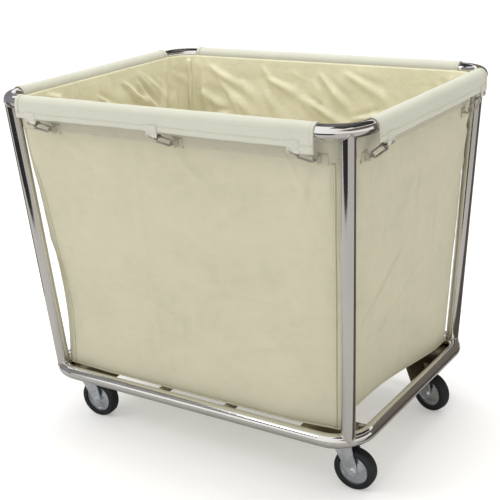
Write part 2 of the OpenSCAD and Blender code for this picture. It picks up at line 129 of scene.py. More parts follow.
def grid_normals(points, closed):
    """Outward unit normals of a grid of points whose rows run down and whose columns run anticlockwise."""
    if closed:
        along = np.roll(points, -1, 1) - np.roll(points, 1, 1)
    else:
        along = np.gradient(points, axis=1)
    down = np.gradient(points, axis=0)
    normals = np.cross(down, along)
    return normals / np.maximum(np.linalg.norm(normals, axis=2, keepdims=True), 1e-12)


class Surface:
    """A grid of points with normals, that seams, bands and stitches are laid on."""

    def __init__(self, points, closed):
        self.points = points
        self.closed = closed
        self.normals = grid_normals(points, closed)

    def at(self, row, col, lift=0.0):
        """Points lift above the surface at fractional rows and columns."""
        rows, cols = self.points.shape[:2]
        row = np.clip(np.asarray(row, float), 0, rows - 1)
        r0 = np.minimum(np.floor(row).astype(int), rows - 2)
        fr = (row - r0)[..., None]
        if self.closed:
            c0 = np.floor(col).astype(int)
            fc = (col - c0)[..., None]
            c0, c1 = c0 % cols, (c0 + 1) % cols
        else:
            col = np.clip(np.asarray(col, float), 0, cols - 1)
            c0 = np.minimum(np.floor(col).astype(int), cols - 2)
            c1, fc = c0 + 1, (col - c0)[..., None]

        def mix(a):
            above = a[r0, c0] * (1 - fc) + a[r0, c1] * fc
            below = a[r0 + 1, c0] * (1 - fc) + a[r0 + 1, c1] * fc
            return above * (1 - fr) + below * fr

        normal = mix(self.normals)
        normal /= np.linalg.norm(normal, axis=-1, keepdims=True)
        return mix(self.points) + normal * lift, normal


# ---------- materials ----------


class Nodes:
    """A material's node tree, with short calls to add and join nodes."""

    def __init__(self, name):
        self.material = bpy.data.materials.new(name)
        self.material.use_nodes = True
        self.tree = self.material.node_tree
        self.shader = self.tree.nodes["Principled BSDF"]

    def add(self, kind, **settings):
        node = self.tree.nodes.new("ShaderNode" + kind)
        for key, value in settings.items():
            if hasattr(node, key):
                setattr(node, key, value)
            else:
                node.inputs[key.replace("_", " ")].default_value = value
        return node

    def join(self, source, target):
        self.tree.links.new(source, target)

    def set(self, **values):
        for key, value in values.items():
            self.shader.inputs[key.replace("_", " ")].default_value = value

    def object_place(self, scale=(1, 1, 1)):
        place = self.add("TexCoord")
        mapping = self.add("Mapping")
        mapping.inputs["Scale"].default_value = scale
        self.join(place.outputs["Object"], mapping.inputs["Vector"])
        return mapping.outputs["Vector"]

    def noise(self, vector, scale, detail=3.0, roughness=0.5):
        node = self.add("TexNoise", Scale=scale, Detail=detail, Roughness=roughness)
        self.join(vector, node.inputs["Vector"])
        return node.outputs["Fac"]

    def ramp(self, fac, stops):
        node = self.add("ValToRGB")
        for element, (position, colour) in zip(node.color_ramp.elements, (stops[0], stops[-1])):
            element.position = position
            element.color = (*colour, 1)
        for position, colour in stops[1:-1]:
            node.color_ramp.elements.new(position).color = (*colour, 1)
        self.join(fac, node.inputs["Fac"])
        return node.outputs["Color"]

    def grey_range(self, fac, low, high):
        node = self.add("MapRange")
        node.inputs["To Min"].default_value = low
        node.inputs["To Max"].default_value = high
        self.join(fac, node.inputs["Value"])
        return node.outputs["Result"]

    def maths(self, operation, a, b):
        node = self.add("Math", operation=operation)
        for socket, value in zip(node.inputs, (a, b)):
            if isinstance(value, (int, float)):
                socket.default_value = value
            else:
                self.join(value, socket)
        return node.outputs[0]

    def bump(self, height, strength, distance, normal=None):
        node = self.add("Bump", Strength=strength, Distance=distance)
        self.join(height, node.inputs["Height"])
        if normal is not None:
            self.join(normal, node.inputs["Normal"])
        return node.outputs["Normal"]


def shade(colour, factor):
    return tuple(c * factor for c in colour)


def woven(name, colour, thread=1.1 * MM, sheen=0.25, mottle=0.08, bump=0.35, crumple=0.25):
    """Plain woven cloth on a UV map in metres: threads, slubs and slow variation in colour."""
    n = Nodes(name)
    uv = n.add("UVMap", uv_map="cloth").outputs["UV"]
    place = n.object_place()
    waves = []
    for direction in ("X", "Y"):
        wave = n.add("TexWave", bands_direction=direction, Scale=math.pi / (10 * thread))
        wave.inputs["Distortion"].default_value = 0.6
        wave.inputs["Detail Scale"].default_value = 0.5
        n.join(uv, wave.inputs["Vector"])
        waves.append(wave.outputs["Fac"])
    threads = n.maths("MULTIPLY", waves[0], waves[1])
    stretched = n.add("Mapping")
    stretched.inputs["Scale"].default_value = (8, 260, 1)
    n.join(uv, stretched.inputs["Vector"])
    slubs = n.noise(stretched.outputs["Vector"], 1.0, 2.0)
    slow = n.noise(place, 7.0, 4.0, 0.55)
    blotch = n.noise(place, 38.0, 3.0, 0.6)
    tone = n.maths("ADD", n.maths("MULTIPLY", slow, 0.6), n.maths("MULTIPLY", blotch, 0.4))
    cloth = n.ramp(tone, [
        (0.28, shade(colour, 1 - mottle)),
        (0.5, colour),
        (0.74, tuple(min(1.0, c) for c in shade(colour, 1 + mottle * 0.7))),
    ])
    lines = n.add("MixRGB", blend_type="MULTIPLY")
    lines.inputs["Fac"].default_value = 0.35
    n.join(cloth, lines.inputs["Color1"])
    both = n.maths("ADD", n.maths("MULTIPLY", threads, 0.5), n.maths("MULTIPLY", slubs, 0.5))
    n.join(n.ramp(both, [(0.1, (0.78, 0.76, 0.7)), (0.6, (1, 1, 1))]), lines.inputs["Color2"])
    n.join(lines.outputs["Color"], n.shader.inputs["Base Color"])
    n.join(n.grey_range(blotch, 0.82, 0.95), n.shader.inputs["Roughness"])
    soft = n.bump(n.noise(place, 42.0, 3.0, 0.6), crumple, 2.5 * MM)
    n.join(n.bump(both, bump, 0.35 * MM, soft), n.shader.inputs["Normal"])
    n.set(Specular_IOR_Level=0.25, Sheen_Weight=sheen, Sheen_Roughness=0.5)
    n.shader.inputs["Sheen Tint"].default_value = (*[min(1.0, c * 1.2) for c in colour], 1)
    return n.material


def polished(name, colour, roughness=(0.05, 0.14), wear=0.05):
    """Polished or plated metal, with fine marks and slow changes of gloss."""
    n = Nodes(name)
    place = n.object_place()
    fine = n.noise(n.object_place((60, 60, 60)), 9.0, 4.0, 0.7)
    slow = n.noise(place, 11.0, 3.0)
    n.join(n.ramp(slow, [(0.3, shade(colour, 1 - wear)), (0.7, colour)]), n.shader.inputs["Base Color"])
    gloss = n.maths("ADD", n.maths("MULTIPLY", fine, 0.5), n.maths("MULTIPLY", slow, 0.5))
    n.join(n.grey_range(gloss, *roughness), n.shader.inputs["Roughness"])
    n.join(n.bump(fine, 0.06, 0.2 * MM), n.shader.inputs["Normal"])
    n.set(Metallic=1.0)
    return n.material


def plated(name, light, dark, roughness=(0.24, 0.46)):
    """Zinc or nickel plate on pressed steel: cloudy patches and small dark pits."""
    n = Nodes(name)
    place = n.object_place()
    cloud = n.noise(place, 42.0, 4.0, 0.6)
    pits = n.add("TexVoronoi", Scale=420.0)
    n.join(place, pits.inputs["Vector"])
    colour = n.add("MixRGB", blend_type="MULTIPLY")
    colour.inputs["Fac"].default_value = 0.5
    n.join(n.ramp(cloud, [(0.35, dark), (0.62, light)]), colour.inputs["Color1"])
    spots = n.ramp(pits.outputs["Distance"], [(0.02, (0.35, 0.34, 0.32)), (0.2, (1, 1, 1))])
    n.join(spots, colour.inputs["Color2"])
    n.join(colour.outputs["Color"], n.shader.inputs["Base Color"])
    n.join(n.grey_range(cloud, *roughness), n.shader.inputs["Roughness"])
    n.join(n.bump(n.noise(place, 300.0, 3.0, 0.6), 0.12, 0.3 * MM), n.shader.inputs["Normal"])
    n.set(Metallic=1.0)
    return n.material


def rubber(name, colour):
    """Tyre rubber: nearly black, with dust and fine scuffs."""
    n = Nodes(name)
    place = n.object_place()
    dust = n.noise(place, 26.0, 5.0, 0.65)
    n.join(n.ramp(dust, [(0.42, colour), (0.78, shade(colour, 2.6))]), n.shader.inputs["Base Color"])
    n.join(n.grey_range(dust, 0.38, 0.7), n.shader.inputs["Roughness"])
    n.join(n.bump(n.noise(place, 240.0, 4.0, 0.7), 0.2, 0.3 * MM), n.shader.inputs["Normal"])
    n.set(Specular_IOR_Level=0.4)
    return n.material


CREAM = (0.515, 0.495, 0.372)
# Inner face: a brighter, yellower copy of the cream, painted light that stands in for light falling inside
# the bag
PAINTED_LIGHT_INSIDE_CREAM = (0.71, 0.68, 0.505)
BAND_CREAM = (0.49, 0.47, 0.375)
FLAP_CREAM = (0.53, 0.535, 0.46)

canvas = woven("canvas", CREAM)
painted_light_inside_canvas = woven("painted_light_inside_canvas", PAINTED_LIGHT_INSIDE_CREAM, mottle=0.1, crumple=0.75)
band_canvas = woven("band_canvas", BAND_CREAM)
flap_canvas = woven("flap_canvas", FLAP_CREAM, mottle=0.04)
webbing = woven("webbing", (0.56, 0.56, 0.49), thread=2.0 * MM, bump=0.7)
tape = woven("tape", (0.50, 0.48, 0.38), thread=2.0 * MM, bump=0.7)
thread = woven("thread", (0.52, 0.50, 0.41), thread=0.6 * MM, bump=0.2)
stainless = polished("stainless", (0.80, 0.79, 0.77))
weld_steel = polished("weld_steel", (0.72, 0.70, 0.66), roughness=(0.22, 0.4), wear=0.2)
# Corner plates: dark brown metal, painted shade and a painted reflection of the bag's underside above them
plate_steel_painted_shade = polished("plate_steel_painted_shade", (0.36, 0.30, 0.21), roughness=(0.10, 0.2), wear=0.3)
# Crossbars: darker olive-brown metal, painted shade from lying under the bag's edge
bar_steel_painted_shade = polished("bar_steel_painted_shade", (0.46, 0.41, 0.30), roughness=(0.10, 0.2), wear=0.2)
zinc = plated("zinc", (0.80, 0.84, 0.88), (0.60, 0.64, 0.69), roughness=(0.2, 0.38))
nickel = plated("nickel", (0.60, 0.58, 0.53), (0.34, 0.32, 0.29), roughness=(0.2, 0.42))
tyre_rubber = rubber("tyre_rubber", (0.008, 0.009, 0.011))

NODE_MATERIALS = {
    "top_ring": stainless,
    "bottom_ring": stainless,
    "post": stainless,
    "crossbar": bar_steel_painted_shade,
    "corner_plate": plate_steel_painted_shade,
    "castor": zinc,
    "fork": zinc,
    "axle": zinc,
    "bush": zinc,
    "wheel_centre": zinc,
    "kingpins": zinc,
    "swivel_balls": zinc,
    "tyre": tyre_rubber,
    "snap_hook": nickel,
    "d_rings": nickel,
    "gate": nickel,
}

for name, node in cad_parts.items():
    for start, material in NODE_MATERIALS.items():
        if name.startswith(start):
            node.data.materials.clear()
            node.data.materials.append(material)


# ---------- bag ----------

LONG_STEPS, SHORT_STEPS, CORNER_STEPS = 146, 104, 18
WALL_ROWS = 132
SKIRT_ROWS = 10
BOTTOM_ROWS = 14
MOUTH_CORNER = 64 * MM
FOOT_CORNER = 15 * MM
FOOT_SAG = 7 * MM
CLOTH = 1.2 * MM
CREASE = 0.59

# By corner, from the front right anticlockwise: how far its edge hangs slack, and how strongly it gathers
CORNER_SLACK = (6 * MM, 7 * MM, 8 * MM, 29 * MM)
CORNER_PULL = (1.0, 1.0, 2.6, 0.2)
# By wall, from the front anticlockwise: how far its foot bulges
FOOT_BULGE = (13 * MM, 4 * MM, 13 * MM, 4 * MM)
FRONT_LEFT_PUSH = 8 * MM
TUCK_IN, TUCK_UP = 24 * MM, 16 * MM
# The bottom's flat part, and where the skirt round it starts
FLAT_HALF = np.array([290, 170]) * MM

# Folds seen outside: wall, start along it and depth (m), run and drop (m), width and height (mm)
OUTSIDE_FOLDS = (
    (0, -0.33, 0.06, 0.18, 0.10, 12, 2.0),
    (0, 0.20, 0.16, -0.18, 0.14, 14, 2.2),
    (0, 0.02, 0.08, 0.10, 0.10, 10, 1.8),
    (0, -0.20, 0.42, 0.30, 0.09, 12, 2.4),
    (0, 0.26, 0.50, -0.22, 0.06, 12, 2.2),
    (0, 0.30, 0.06, 0.05, 0.14, 9, 1.8),
    (0, 0.33, 0.13, -0.16, 0.05, 8, 1.6),
    (0, -0.05, 0.55, -0.20, 0.03, 9, 1.6),
    (0, -0.36, 0.30, 0.10, 0.20, 9, 1.8),
    (1, -0.03, 0.32, -0.25, 0.18, 7, 3.6),
    (1, 0.03, 0.41, -0.20, 0.13, 6, 2.6),
    (1, -0.12, 0.12, 0.12, 0.16, 16, 1.8),
    (1, 0.02, 0.10, 0.02, 0.42, 12, 2.0),
    (1, 0.12, 0.16, 0.02, 0.40, 10, 2.2),
    (1, -0.10, 0.50, 0.26, 0.05, 12, 1.8),
    (1, 0.22, 0.10, -0.02, 0.34, 9, 2.0),
)
CORNER_GATHERS = ((-0.05, -0.06, 3), (-0.02, -0.02, 2.5), (0.02, 0.02, 2.5), (0.05, 0.06, 3))


def outline(half, radius):
    """Points round a rounded rectangle, anticlockwise from the front wall's left end."""
    hx, hy = half
    points = []
    for k, steps in enumerate((LONG_STEPS, SHORT_STEPS, LONG_STEPS, SHORT_STEPS)):
        turn = np.array([[math.cos(k * math.pi / 2), -math.sin(k * math.pi / 2)],
                         [math.sin(k * math.pi / 2), math.cos(k * math.pi / 2)]])
        a, b = (hx, hy) if k % 2 == 0 else (hy, hx)
        t = np.arange(steps) / steps
        side = np.stack([(2 * t - 1) * (a - radius), np.full(steps, -b)], -1)
        angle = -math.pi / 2 + math.pi / 2 * np.arange(CORNER_STEPS) / CORNER_STEPS
        arc = np.stack([a - radius + radius * np.cos(angle), radius - b + radius * np.sin(angle)], -1)
        points.append(np.concatenate([side, arc]) @ turn.T)
    return np.concatenate(points)


mouth_line = outline(MOUTH_HALF, MOUTH_CORNER)
COLS = len(mouth_line)
steps_round = np.linalg.norm(np.roll(mouth_line, -1, 0) - mouth_line, axis=1)
around = np.concatenate([[0], np.cumsum(steps_round)[:-1]])
PERIMETER = steps_round.sum()
side_start = [0, LONG_STEPS + CORNER_STEPS, LONG_STEPS + SHORT_STEPS + 2 * CORNER_STEPS,
              2 * LONG_STEPS + SHORT_STEPS + 3 * CORNER_STEPS]
side_steps = [LONG_STEPS, SHORT_STEPS, LONG_STEPS, SHORT_STEPS]
side_middle = [(around[s] + around[(s + n) % COLS]) / 2 for s, n in zip(side_start, side_steps)]
corner_middle = [around[(s + n + CORNER_STEPS // 2) % COLS] for s, n in zip(side_start, side_steps)]
WALL_HEIGHT = math.hypot(MOUTH_Z - FOOT_Z, (MOUTH_HALF - FOOT_HALF)[0])


def round_gap(p, place):
    """Signed distance round the perimeter from place to p."""
    return (p - place + PERIMETER / 2) % PERIMETER - PERIMETER / 2


def fold(p, q, start, run, drop, width, height):
    """A fold from start, a place round the mouth and a depth. It widens and fades. Height is outwards."""
    length = math.hypot(run, drop)
    way = np.array([run, drop]) / length
    gap = round_gap(p, start[0])
    along = (gap * way[0] + (q - start[1]) * way[1]) / length
    across = -gap * way[1] + (q - start[1]) * way[0]
    x = across / (width * (0.6 + 0.9 * np.clip(along, 0, 1)))
    crest = np.exp(-(x**2)) - 0.55 * np.exp(-((x - 1.35) ** 2)) - 0.2 * np.exp(-((x + 1.6) ** 2))
    fade = ease(along, -0.12, 0.18) * (1 - ease(along, 0.5, 1.15))
    return height * crest * fade


def bag_relief(p, q):
    """How far the cloth stands outwards of its plain loft, at place p round the mouth and depth q."""
    deep = q / WALL_HEIGHT

    def noise(size, tall, seed):
        cells = max(4, int(round(PERIMETER / size)))
        return value_noise(p / PERIMETER * cells, q / tall, cells, seed)

    relief = 4.2 * MM * noise(0.34, 0.3, 3) * ease(deep, 0.0, 0.3)
    crumple = 1.5 * noise(0.09, 0.11, 5) + 0.7 * noise(0.045, 0.06, 8) + 0.3 * noise(0.024, 0.03, 11)
    near_mouth = 1 - ease(deep, 0.3, 0.75)
    back_left = np.maximum(1 - ease(np.abs(round_gap(p, side_middle[2])), 0.5, 0.6),
                           1 - ease(np.abs(round_gap(p, side_middle[3])), 0.4, 0.5))
    relief += MM * crumple * (0.85 + 1.5 * near_mouth * back_left)

    # Creases: inside they slant away from the hooks' pull, outside they are few and faint
    random = np.random.RandomState(17)
    for side, reach, count in ((2, 0.40, 46), (3, 0.26, 30)):
        for _ in range(count):
            depth = 0.012 + 0.26 * random.rand() ** 1.6
            length = random.uniform(0.05, 0.15)
            slant = math.radians(random.uniform(18, 62) if depth < 0.12 else random.uniform(-12, 40))
            start = (side_middle[side] + reach * random.uniform(-1, 1), depth)
            run, drop = -length * math.cos(slant), length * math.sin(slant)
            height = -random.uniform(3, 11) * MM * (1.25 - 2.2 * depth)
            relief += fold(p, q, start, run, drop, random.uniform(8, 14) * MM, height)
    for side, start, depth, run, drop, width, height in OUTSIDE_FOLDS:
        relief += fold(p, q, (side_middle[side] + start, depth), run, drop, width * MM, height * MM)

    # Gathers that fan out below each bare corner of the ring
    for middle, pull in zip(corner_middle, CORNER_PULL):
        for place, lean, height in CORNER_GATHERS:
            relief -= fold(p, q, (middle + place, 0.0), lean, 0.2, 10 * MM, pull * height * MM)

    # The corner edges hang slack, most at the crease left by packing that runs all round
    for middle, slack in zip(corner_middle, CORNER_SLACK):
        above = np.clip((deep - 0.1) / (CREASE - 0.1), 0, 1) ** 1.8
        sag = np.minimum(above, np.clip((1.0 - deep) / (1.0 - CREASE), 0, 1))
        relief -= slack * sag * np.exp(-((round_gap(p, middle) / 0.1) ** 2))
    relief += 2.6 * MM * np.exp(-np.abs(q - CREASE * WALL_HEIGHT - 3 * MM * np.sin(9 * p)) / (11 * MM))

    # Packing also left one upright crease down each wall
    for side, place in ((0, -0.09), (2, 0.1), (1, 0.02), (3, 0.02)):
        relief += 1.5 * MM * np.exp(-np.abs(round_gap(p, side_middle[side] + place)) / (9 * MM))
    return relief


def held_places():
    """Where the D-ring tapes are sewn on, as (place round the mouth, depth)."""
    places = []
    for low, high in solids_of("webbing_tabs"):
        if low.z < TOP_Z - 45 * MM:
            middle = (low + high) / 2
            nearest = np.argmin(np.linalg.norm(mouth_line - np.array([middle.x, middle.y]), axis=1))
            places.append((around[nearest], MOUTH_Z - middle.z))
    return places


def solids_of(node):
    """The lowest and highest corner of each separate solid of a CAD node."""
    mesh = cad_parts[node].data
    points = np.array([v.co for v in mesh.vertices])
    _, same = np.unique(np.round(points / (0.02 * MM)).astype(int), axis=0, return_inverse=True)
    group = np.arange(same.max() + 1)

    def root(i):
        while group[i] != i:
            group[i] = group[group[i]]
            i = group[i]
        return i

    for edge in mesh.edges:
        a, b = root(same.ravel()[edge.vertices[0]]), root(same.ravel()[edge.vertices[1]])
        group[a] = b
    roots = np.array([root(i) for i in same.ravel()])
    return [(Vector(points[roots == r].min(0)), Vector(points[roots == r].max(0))) for r in np.unique(roots)]


def bag_grid():
    """The bag's walls as rows of points from the mouth down, displaced by the relief."""
    t = np.linspace(0, 1, WALL_ROWS)
    flat = np.array([
        outline(MOUTH_HALF + (FOOT_HALF - MOUTH_HALF) * share,
                max(FOOT_CORNER, MOUTH_CORNER - 0.14 * share * WALL_HEIGHT))
        for share in t
    ])
    z = MOUTH_Z + (FOOT_Z - FOOT_SAG - MOUTH_Z) * t
    loft = np.concatenate([flat, np.broadcast_to(z[:, None, None], (WALL_ROWS, COLS, 1))], -1)
    p, q = np.meshgrid(around, t * WALL_HEIGHT)
    relief = bag_relief(p, q)
    for place, depth in held_places():
        near = np.exp(-((round_gap(p, place) / 0.045) ** 2 + ((q - depth) / 0.035) ** 2))
        relief = relief * (1 - near)
    relief *= ease(t, 0.0, 0.04)[:, None] * (1 - 0.8 * ease(t, 0.93, 1.0))[:, None]
    low_down = ease(t, 0.7, 1.0)[:, None]
    for place, reach, bulge in zip(side_middle, np.tile(MOUTH_HALF, 2), FOOT_BULGE):
        relief += bulge * low_down * (1 - ease(np.abs(round_gap(p, place)), 0.55 * reach, 0.97 * reach))
    relief += FRONT_LEFT_PUSH * low_down * np.exp(-((round_gap(p, corner_middle[3]) / 0.1) ** 2))
    most = 4 * MM * ease(q, 0.03, 0.08) + 9 * MM * low_down
    relief = np.clip(relief, -30 * MM, most)
    # The right wall's foot is tucked in and up, next to the near corner
    gap = round_gap(p, corner_middle[0])
    tuck = ease(gap, 0.0, 0.05) * (1 - ease(gap, 0.2, 0.62))
    relief -= TUCK_IN * tuck * ease(t, 0.55, 1.0)[:, None]
    loft[..., 2] += TUCK_UP * tuck * ease(t, 0.7, 1.0)[:, None]
    return loft + grid_normals(loft, True) * relief[..., None]


def bag_bottom_rows(foot_row):
    """Rows from the foot inwards: a skirt down to the crossbars, then the bottom, wavy between them."""
    rows = []
    spread = FOOT_HALF - FLAT_HALF
    for k in range(1, SKIRT_ROWS + BOTTOM_ROWS):
        inwards = min(k / SKIRT_ROWS, 1.0)
        shrink = max(0.0, (k - SKIRT_ROWS) / BOTTOM_ROWS)
        half = (FOOT_HALF - spread * inwards) * (1 - shrink) + 4 * MM * shrink
        radius = min(FOOT_CORNER, half.min() * 0.9)
        line = outline(half, radius)
        fall = (FOOT_Z - FOOT_SAG - FLOOR_Z) * (1 - ease(inwards, 0, 1))
        between = 1 - np.exp(-((np.abs(line[:, 0]) - BAR_X) / 0.05) ** 2)
        p, q = line[:, 0] * 12, line[:, 1] * 12
        wave = 1.2 * MM * (value_noise(p + 30, q + 30, 61, 21) + 1)
        z = FLOOR_Z + fall + wave * between
        rows.append(np.concatenate([line, z[:, None]], -1))
    # The first rows take over, less and less, what the relief did to the walls' last row
    plain_foot = np.concatenate([outline(FOOT_HALF, FOOT_CORNER), np.full((COLS, 1), FOOT_Z - FOOT_SAG)], -1)
    for weight, row in zip(np.linspace(1, 0, 6)[1:], rows):
        row += weight**2 * (foot_row - plain_foot)
    return np.array(rows)


walls = bag_grid()
bag = Surface(walls, True)


def make_bag():
    """The bag's walls and bottom in one piece of cloth. Its inner face takes a brighter, yellower copy of
    the canvas, painted light for the inside of the bag.
    """
    rows = np.concatenate([walls, bag_bottom_rows(walls[-1])])
    depth = np.concatenate([[0], np.cumsum(np.linalg.norm(np.diff(rows, axis=0), axis=2).mean(1))])
    uv = np.stack(np.meshgrid(around, -depth), -1).reshape(-1, 2)
    count = len(rows) * COLS
    points = np.concatenate([rows.reshape(-1, 3), [rows[-1].mean(0)]])
    uv = np.concatenate([uv, [[0, -depth[-1]]]])
    faces = grid_faces(len(rows), COLS, closed=True).tolist()
    last = (len(rows) - 1) * COLS
    faces += [[last + i, count, last + (i + 1) % COLS] for i in range(COLS)]
    piece = make_mesh("canvas_bag", points, faces, canvas, uv)
    # The inner face gets the brighter copy of the canvas: painted light inside the bag
    piece.data.materials.append(painted_light_inside_canvas)
    solidify(piece, CLOTH, -1)
    piece.modifiers["cloth thickness"].material_offset = 1
    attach(piece, "frame")
    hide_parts("bag_front", "bag_right", "bag_back", "bag_left", "bag_bottom")


def laid_strip(name, surface, row, col, lift, thickness, material, closed=False):
    """Cloth laid on a surface at arrays of rows and columns, lift above it."""
    points, _ = surface.at(row, col, lift)
    rows, cols = points.shape[:2]
    along = np.linalg.norm(np.diff(points, axis=1), axis=2).mean(0)
    down = np.linalg.norm(np.diff(points, axis=0), axis=2).mean(1)
    u = np.concatenate([[0], np.cumsum(along)])
    v = np.concatenate([[0], np.cumsum(down)])
    uv = np.stack(np.meshgrid(u, -v), -1).reshape(-1, 2)
    piece = make_mesh(name, points.reshape(-1, 3), grid_faces(rows, cols, closed), material, uv)
    solidify(piece, thickness, 1)
    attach(piece, "frame")
    return piece


BAND_DEPTH = 66 * MM
ROW_STEP = WALL_HEIGHT / (WALL_ROWS - 1)
CORNER_COLS = [start + steps + CORNER_STEPS / 2 for start, steps in zip(side_start, side_steps)]
# Each corner's seam lies on the long wall: the way there from the corner, in columns
LONG_SEAMS = list(zip(CORNER_COLS, (-1, 1, -1, 1)))
SEAM_ASIDE = 24 * MM
SWEPT_SIDES = 8


def seam_cols(rows, corner, way, aside):
    """Columns that lie aside from a corner, along the cloth, for each of some rows of the bag."""
    steps = np.arange(0, 3 * CORNER_STEPS) * 0.5 * way
    cols = []
    for row in rows:
        places, _ = bag.at(np.full(len(steps), row), corner + steps)
        run = np.concatenate([[0], np.cumsum(np.linalg.norm(np.diff(places, axis=0), axis=1))])
        cols.append(corner + np.interp(aside, run, steps))
    return np.array(cols)


def make_band():
    """The doubled canvas round the mouth, outside."""
    rows = np.append(np.arange(1, BAND_DEPTH / ROW_STEP), BAND_DEPTH / ROW_STEP)
    row, col = np.meshgrid(rows, np.arange(COLS, dtype=float), indexing="ij")
    laid_strip("mouth_band", bag, row, col, 0.25 * MM, 0.9 * MM, band_canvas, closed=True)


def make_wall_seams():
    """A lapped seam down each end of the long walls, outside, and its turned edge inside."""
    for number, (corner, way) in enumerate(LONG_SEAMS):
        for label, outside, top, half, lift, material in (
            ("wall", True, BAND_DEPTH / ROW_STEP + 0.2, 4 * MM, 0.15 * MM, canvas),
            # The inner seam takes the same painted-light copy as the inner face
            ("inner", False, 2, 6 * MM, -CLOTH - 0.15 * MM, painted_light_inside_canvas),
        ):
            rows = np.linspace(top, WALL_ROWS - 1.3, 90)
            edges = [seam_cols(rows, corner, way, SEAM_ASIDE + share * half) for share in (-1, -0.3, 0.3, 1)]
            # The order of the columns sets which side the strip's thickness grows to
            if outside != (way > 0):
                edges.reverse()
            col = np.stack(edges, 1)
            row = np.repeat(rows[:, None], 4, 1)
            laid_strip(f"{label}_seam_{number + 1}", bag, row, col, lift, 0.9 * MM, material)


def swept(line, normals, radius):
    """Points and faces of a tube swept round a closed line. radius is one number or one for each point."""
    ahead = np.roll(line, -1, 0) - np.roll(line, 1, 0)
    ahead /= np.linalg.norm(ahead, axis=1, keepdims=True)
    out = normals - (normals * ahead).sum(1, keepdims=True) * ahead
    out /= np.linalg.norm(out, axis=1, keepdims=True)
    side = np.cross(ahead, out)
    radius = np.broadcast_to(radius, len(line))[:, None, None]
    angle = 2 * math.pi * np.arange(SWEPT_SIDES) / SWEPT_SIDES
    ring = out[:, None] * np.cos(angle)[None, :, None] + side[:, None] * np.sin(angle)[None, :, None]
    points = (line[:, None] + ring * radius).reshape(-1, 3)
    faces = []
    for i in range(len(line)):
        a, b = i * SWEPT_SIDES, (i + 1) % len(line) * SWEPT_SIDES
        for k in range(SWEPT_SIDES):
            after = (k + 1) % SWEPT_SIDES
            faces.append([a + k, b + k, b + after, a + after])
    return points, faces


def make_foot_welt():
    """The turned seam that joins the walls to the bottom."""
    cols = np.arange(COLS, dtype=float)
    line, normals = bag.at(np.full(COLS, WALL_ROWS - 1.0), cols, 0.2 * MM)
    points, faces = swept(line, normals, 1.9 * MM)
    u = np.repeat(around, SWEPT_SIDES)
    v = np.tile(np.arange(SWEPT_SIDES) * 1.5 * MM, COLS)
    piece = make_mesh("foot_welt", points, faces, canvas, np.stack([u, v], -1))
    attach(piece, "frame")


# ---------- flaps ----------

FLAP_R = TUBE_R + 0.5 * MM
FLAP_CLOTH = 1.2 * MM
TAIL_STEPS, ARCH_STEPS, HANG_STEPS = 6, 18, 12
FLAP_HANG = 31 * MM
FLAP_TAIL = 23 * MM
HEM = 13 * MM
TURNED_END = 10 * MM


def row_above_edge(rows, up):
    """The row of a flap's grid that lies up above its lower edge."""
    return rows - 1 - HANG_STEPS * up / FLAP_HANG


def flap_surface(side, half_length, hang, droop, seed):
    """A flap's inner face as a grid: columns along the side, rows from tail to hem over the tube."""
    steps = int(round(2 * half_length / (6 * MM)))
    u = np.linspace(-half_length, half_length, steps + 1)

    def wave(size, wave_seed):
        return value_noise(u / size + 11, np.zeros_like(u), 53, wave_seed)

    low = hang + 1.2 * MM * wave(0.12, seed) + 0.5 * MM * wave(0.03, seed + 1)
    low = low + droop * ease(u, half_length - 58 * MM, half_length - 48 * MM)
    rows = []
    for t in np.linspace(0, 1, TAIL_STEPS + 1)[:-1]:
        rows.append((-FLAP_R, -(FLAP_TAIL + 1.5 * MM * wave(0.08, seed + 3)) * (1 - t)))
    for angle in np.linspace(math.pi, 0, ARCH_STEPS + 1):
        puff = 0.5 * MM * (1 + wave(0.05, seed + 4)) * max(0.0, math.sin(angle))
        rows.append(((FLAP_R + puff) * math.cos(angle), (FLAP_R + puff) * math.sin(angle)))
    for t in np.linspace(0, 1, HANG_STEPS + 1)[1:]:
        belly = 0.9 * MM * math.sin(math.pi * t) * (1 + wave(0.09, seed + 5))
        belly = belly + 1.3 * MM * t * wave(0.05, seed + 6)
        rows.append((FLAP_R + np.maximum(belly, 0), -low * t))
    outwards = np.array([np.broadcast_to(o, u.shape) for o, _ in rows])
    height = np.array([np.broadcast_to(h, u.shape) for _, h in rows])
    reach = TOP_SIDE[1] if side % 2 == 0 else TOP_SIDE[0]
    local = np.stack([np.broadcast_to(u, outwards.shape), -reach - outwards, TOP_Z + height], -1)
    turn = np.array(Matrix.Rotation(side * math.pi / 2, 3, "Z"))
    return Surface(local @ turn.T, False)


FLAPS = {}
for side, (name, axis, droop) in enumerate(
    (("front", 0, 11 * MM), ("right", 1, 0), ("back", 0, 11 * MM), ("left", 1, 0))
):
    low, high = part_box("flap_" + name)
    half_length = (high[axis] - low[axis]) / 2
    FLAPS[name] = flap_surface(side, half_length, TOP_Z - low.z, droop, 30 + 10 * side)


